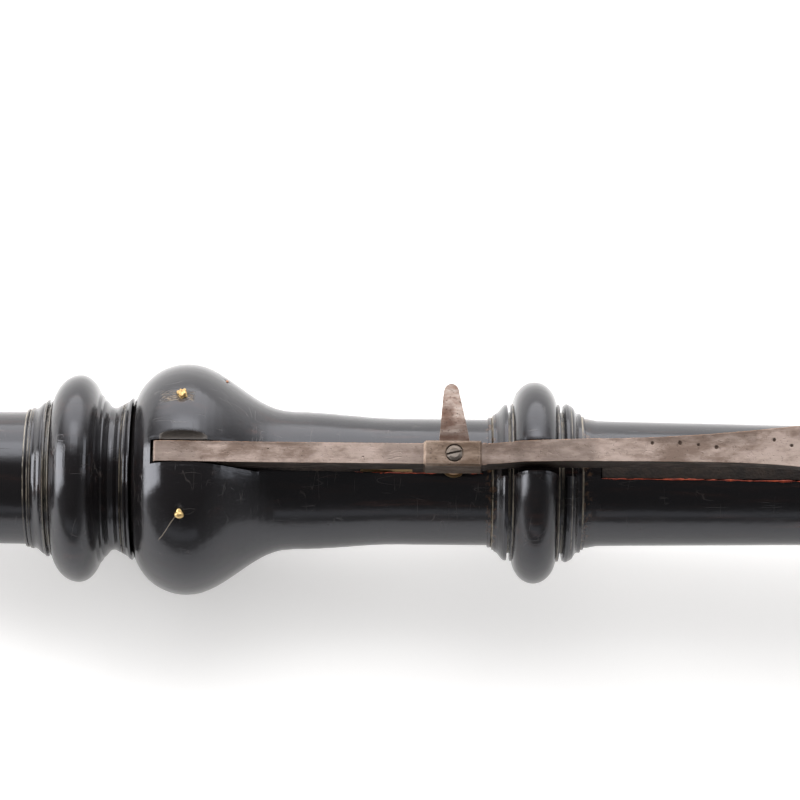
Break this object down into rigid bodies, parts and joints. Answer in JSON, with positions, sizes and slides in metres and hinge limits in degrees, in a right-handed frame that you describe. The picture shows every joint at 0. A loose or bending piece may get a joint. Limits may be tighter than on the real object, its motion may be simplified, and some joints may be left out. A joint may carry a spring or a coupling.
{
  "type": "keyed woodwind instrument",
  "caption": "Turned blackwood pipe with bulb, beads and flared bell, and one long sprung key that pivots in the bulb and closes a vent on the neck.",
  "frame": {"origin": "centre of the straight throat in the bell that a stand's peg fits, on the bore's axis", "axes": "+X runs along the bore towards the bell's mouth, +Z points out of the side that carries the key, +Y completes a right-handed frame"},
  "size_m": [0.34, 0.053, 0.053],
  "materials": {
    "ebony": "polished",
    "thread": "waxed",
    "leather_dark": "matt",
    "red_wax": "waxy",
    "brass": "tarnished",
    "cork": "matt",
    "copper_pin": "tarnished",
    "key_metal": "tarnished",
    "saddle_metal": "tarnished",
    "touch_metal": "tarnished",
    "spring_brass": "satin",
    "screw_steel": "worn",
    "pad_leather": "soft"
  },
  "bodies": {
    "body": {"body_joint": "ebony", "body_tenon_lapping": "thread", "channel_leather": "leather_dark", "bedding_wax": "red_wax", "spring_plate": "spring_brass", "vent_bush": "spring_brass", "tail_cork": "cork", "stop_pin": "copper_pin", "key_pivot_pin": "brass"},
    "head": {"head_joint": "ebony", "head_tenon_lapping": "thread"},
    "key": {"key_lever": "key_metal", "key_spring": "spring_brass", "spring_rivet": "screw_steel", "touch_saddle": "saddle_metal", "side_touch": "touch_metal", "clamp_screw": "screw_steel", "pad_cup": "key_metal", "pad_wax": "red_wax", "key_pad": "pad_leather"},
    "bell": {"bell_joint": "ebony"}
  },
  "joints": [
    {"name": "head_pull", "type": "slide", "parent": "body", "child": "head", "axis": [-1, 0, 0], "range_m": [0, 0.018]},
    {"name": "bell_pull", "type": "slide", "parent": "body", "child": "bell", "axis": [1, 0, 0], "range_m": [0, 0.015]},
    {"name": "key_pivot", "type": "hinge", "parent": "body", "child": "key", "pos_m": [-0.21845, 0, 0.0153], "axis": [0, 1, 0], "range_deg": [0, 1.6], "stiffness_Nm_per_rad": 0.8, "springref_deg": -3.44, "deforming": ["key_spring"]}
  ]
}
